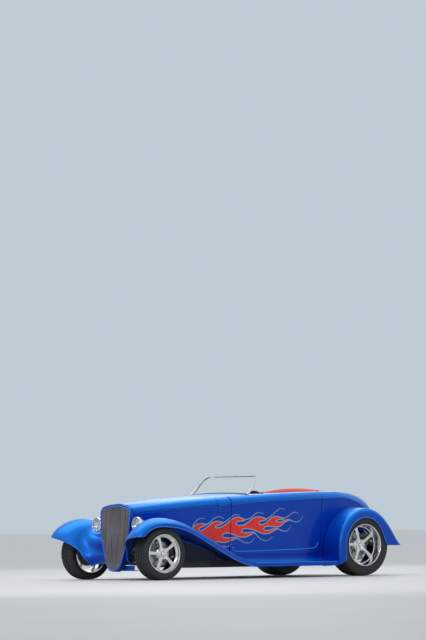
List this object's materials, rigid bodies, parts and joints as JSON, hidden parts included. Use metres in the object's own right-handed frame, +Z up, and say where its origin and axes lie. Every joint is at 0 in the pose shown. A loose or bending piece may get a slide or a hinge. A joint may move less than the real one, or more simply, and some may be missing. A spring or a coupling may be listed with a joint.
{
  "type": "street rod roadster",
  "caption": "Open street rod roadster with full fenders, running boards, tall grille shell, low windshield and flames on blue paint.",
  "frame": {"origin": "on the floor under the middle of the car's bounding box", "axes": "+X forward, +Y to the car's left, +Z up"},
  "size_m": [3.9201, 1.752, 1.1634],
  "materials": {
    "blue_paint": "deep blue gloss paint",
    "chrome": "bright chrome",
    "polished_rim": "polished five-spoke wheel",
    "tyre": "black tyre",
    "red_leather": "red-orange leather",
    "window": "clear windshield glass",
    "chassis_black": "satin black chassis paint",
    "steel": "bare steel",
    "cast": "cast block",
    "grille_metal": "dark bronze-grey grille bars",
    "red_lens": "red lens",
    "black_trim": "black trim"
  },
  "bodies": {
    "body": {"cowl": "blue_paint", "sills": "blue_paint", "rear_body": "blue_paint", "hood_sides": "blue_paint", "front_aprons": "blue_paint", "grille_shell": "blue_paint", "front_fender_left": "blue_paint", "front_fender_right": "blue_paint", "rear_fender_left": "blue_paint", "rear_fender_right": "blue_paint", "running_boards": "blue_paint", "front_pan": "blue_paint", "dashboard": "blue_paint", "windshield_frame": "chrome", "headlamps": "chrome", "seat_cushion": "red_leather", "seat_back": "red_leather", "rear_shelf": "red_leather", "windshield_glass": "window", "frame_rails": "chassis_black", "floor_pan": "chassis_black", "boot_floor": "chassis_black", "fuel_tank": "chassis_black", "rear_axle": "chassis_black", "exhaust_pipes": "steel", "driveshaft": "steel", "front_suspension": "steel", "rear_springs": "steel", "rear_links": "steel", "steering_rack": "steel", "engine": "cast", "gearbox": "cast", "grille_bars": "grille_metal", "tail_lamps": "red_lens", "steering_column": "black_trim"},
    "door_left": {"door_left": "blue_paint", "door_roll_left": "red_leather"},
    "door_right": {"door_right": "blue_paint", "door_roll_right": "red_leather"},
    "hood_top": {"hood_top": "blue_paint"},
    "deck_lid": {"deck_lid": "blue_paint"},
    "knuckle_left": {"knuckle_left": "steel"},
    "knuckle_right": {"knuckle_right": "steel"},
    "steering_wheel": {"steering_wheel": "black_trim"},
    "wheel_front_left": {"rim_front_left": "polished_rim", "tyre_front_left": "tyre"},
    "wheel_front_right": {"rim_front_right": "polished_rim", "tyre_front_right": "tyre"},
    "wheel_rear_left": {"rim_rear_left": "polished_rim", "tyre_rear_left": "tyre"},
    "wheel_rear_right": {"rim_rear_right": "polished_rim", "tyre_rear_right": "tyre"}
  },
  "joints": [
    {"name": "door_left_hinge", "type": "hinge", "parent": "body", "child": "door_left", "pos_m": [-0.8525, 0.668, 0.6], "axis": [0, 0, 1], "range_deg": [0, 60]},
    {"name": "door_right_hinge", "type": "hinge", "parent": "body", "child": "door_right", "pos_m": [-0.8525, -0.668, 0.6], "axis": [0, 0, -1], "range_deg": [0, 60]},
    {"name": "hood_top_hinge", "type": "hinge", "parent": "body", "child": "hood_top", "pos_m": [1.595, 0, 0.862], "axis": [0, 1, 0], "range_deg": [0, 50]},
    {"name": "deck_lid_hinge", "type": "hinge", "parent": "body", "child": "deck_lid", "pos_m": [-1.8425, 0, 0.85], "axis": [0, -1, 0], "range_deg": [0, 60]},
    {"name": "steer_left", "type": "hinge", "parent": "body", "child": "knuckle_left", "pos_m": [1.53, 0.6, 0.293], "axis": [0, 0, 1], "range_deg": [-25, 25]},
    {"name": "steer_right", "type": "hinge", "parent": "body", "child": "knuckle_right", "pos_m": [1.53, -0.6, 0.293], "axis": [0, 0, 1], "range_deg": [-25, 25]},
    {"name": "steering_wheel_turn", "type": "hinge", "parent": "body", "child": "steering_wheel", "pos_m": [-0.16, 0.33, 0.8193], "axis": [-0.9491, 0, 0.3148], "range_deg": [-330, 330]},
    {"name": "wheel_front_left_spin", "type": "hinge", "parent": "knuckle_left", "child": "wheel_front_left", "pos_m": [1.53, 0.686, 0.293], "axis": [0, 1, 0], "continuous": true},
    {"name": "wheel_front_right_spin", "type": "hinge", "parent": "knuckle_right", "child": "wheel_front_right", "pos_m": [1.53, -0.686, 0.293], "axis": [0, 1, 0], "continuous": true},
    {"name": "wheel_rear_left_spin", "type": "hinge", "parent": "body", "child": "wheel_rear_left", "pos_m": [-1.315, 0.7285, 0.354], "axis": [0, 1, 0], "continuous": true},
    {"name": "wheel_rear_right_spin", "type": "hinge", "parent": "body", "child": "wheel_rear_right", "pos_m": [-1.315, -0.7285, 0.354], "axis": [0, 1, 0], "continuous": true}
  ],
  "couplings": [
    {"joint": "steer_right", "follows": "steer_left", "ratio": 1},
    {"joint": "steering_wheel_turn", "follows": "steer_left", "ratio": 13}
  ]
}
